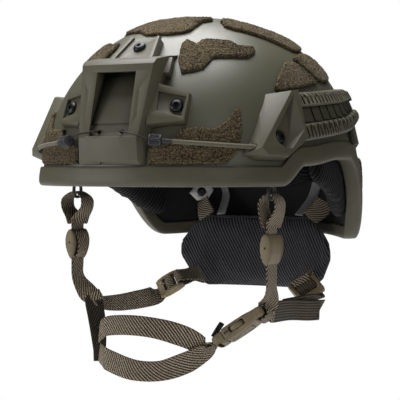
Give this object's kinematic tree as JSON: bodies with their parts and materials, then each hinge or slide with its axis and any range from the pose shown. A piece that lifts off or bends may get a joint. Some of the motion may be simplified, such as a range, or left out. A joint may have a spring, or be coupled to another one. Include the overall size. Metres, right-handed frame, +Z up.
{
  "type": "combat helmet",
  "caption": "High-cut combat helmet with a front shroud, side rails, loop patches, lanyards, comfort pads, nape pad and chin harness.",
  "frame": {"origin": "centre of the shell's widest section, where the head mount sits", "axes": "+Z up through the crown, -Y forwards, +X to the wearer's left"},
  "size_m": [0.2424, 0.2784, 0.2849],
  "materials": {
    "shell_olive": "fine-textured matte paint",
    "polymer_olive": "smooth satin moulding",
    "loop_tan": "brushed loop pile",
    "screw_black": "satin black oxide",
    "webbing": "diagonal weave",
    "tail_black": "heat-cut end",
    "polymer_black": "matte, knurled on the grips",
    "cord_olive": "braided cover",
    "ferrule": "moulded",
    "wire": "drawn",
    "buckle_tan": "fine spark texture",
    "mesh_black": "ribbed spacer mesh",
    "plate_bright": "stamped",
    "stay_grey": "flat tape"
  },
  "bodies": {
    "helmet": {"shell": "shell_olive", "edge_trim": "polymer_olive", "shroud_frame": "polymer_olive", "shroud_insert": "polymer_olive", "rail_left": "polymer_olive", "rail_right": "polymer_olive", "button_screws": "screw_black", "barrel_nuts": "screw_black", "patch_crown_front": "loop_tan", "patch_crown_left": "loop_tan", "patch_crown_right": "loop_tan", "patch_upper_left": "loop_tan", "patch_upper_right": "loop_tan", "patch_side_left": "loop_tan", "patch_side_right": "loop_tan", "patch_lower_left": "loop_tan", "patch_lower_right": "loop_tan", "patch_rear_left": "loop_tan", "patch_rear_right": "loop_tan", "bungee_left": "cord_olive", "bungee_right": "cord_olive", "lanyard_ferrules": "ferrule", "lanyard_grip_left": "polymer_black", "lanyard_grip_right": "polymer_black", "wire_hooks": "wire", "hanger_left": "polymer_black", "hanger_right": "polymer_black", "hanger_loop_left": "webbing", "hanger_loop_right": "webbing", "front_strap_left": "webbing", "front_strap_right": "webbing", "strap_junction_left": "webbing", "strap_junction_right": "webbing", "rear_strap_left": "webbing", "rear_strap_right": "webbing", "ladder_lock_left": "buckle_tan", "ladder_lock_right": "buckle_tan", "nape_strap_left": "webbing", "nape_strap_right": "webbing", "chin_strap_upper": "webbing", "chin_strap_lower": "webbing", "chin_web": "webbing", "strap_tail": "tail_black", "buckle_socket": "buckle_tan", "buckle_plug": "buckle_tan", "nape_pad": "mesh_black", "anchor_plates": "plate_bright", "nape_hangers": "webbing", "nape_stays": "stay_grey", "front_pad": "mesh_black", "crown_pad": "mesh_black", "rear_pad": "mesh_black", "side_pad_left": "mesh_black", "side_pad_right": "mesh_black", "temple_pads": "mesh_black"},
    "slider_left": {"strap_slider_left": "buckle_tan"},
    "slider_right": {"strap_slider_right": "buckle_tan"},
    "arm_upper": {"buckle_arm_upper": "buckle_tan"},
    "arm_lower": {"buckle_arm_lower": "buckle_tan"}
  },
  "joints": [
    {"name": "slider_left_slide", "type": "slide", "parent": "helmet", "child": "slider_left", "axis": [0, 0, 1], "range_m": [-0.012, 0.004]},
    {"name": "slider_right_slide", "type": "slide", "parent": "helmet", "child": "slider_right", "axis": [0, 0, 1], "range_m": [-0.012, 0.004]},
    {"name": "arm_upper_squeeze", "type": "hinge", "parent": "helmet", "child": "arm_upper", "pos_m": [0.05339, -0.06897, -0.11185], "axis": [-0.6028, 0.0447, 0.7966], "range_deg": [0, 8], "stiffness_Nm_per_rad": 0.01},
    {"name": "arm_lower_squeeze", "type": "hinge", "parent": "helmet", "child": "arm_lower", "pos_m": [0.04945, -0.05268, -0.11574], "axis": [0.6028, -0.0447, -0.7966], "range_deg": [0, 8], "stiffness_Nm_per_rad": 0.01}
  ],
  "couplings": [
    {"joint": "arm_lower_squeeze", "follows": "arm_upper_squeeze", "ratio": 1}
  ]
}
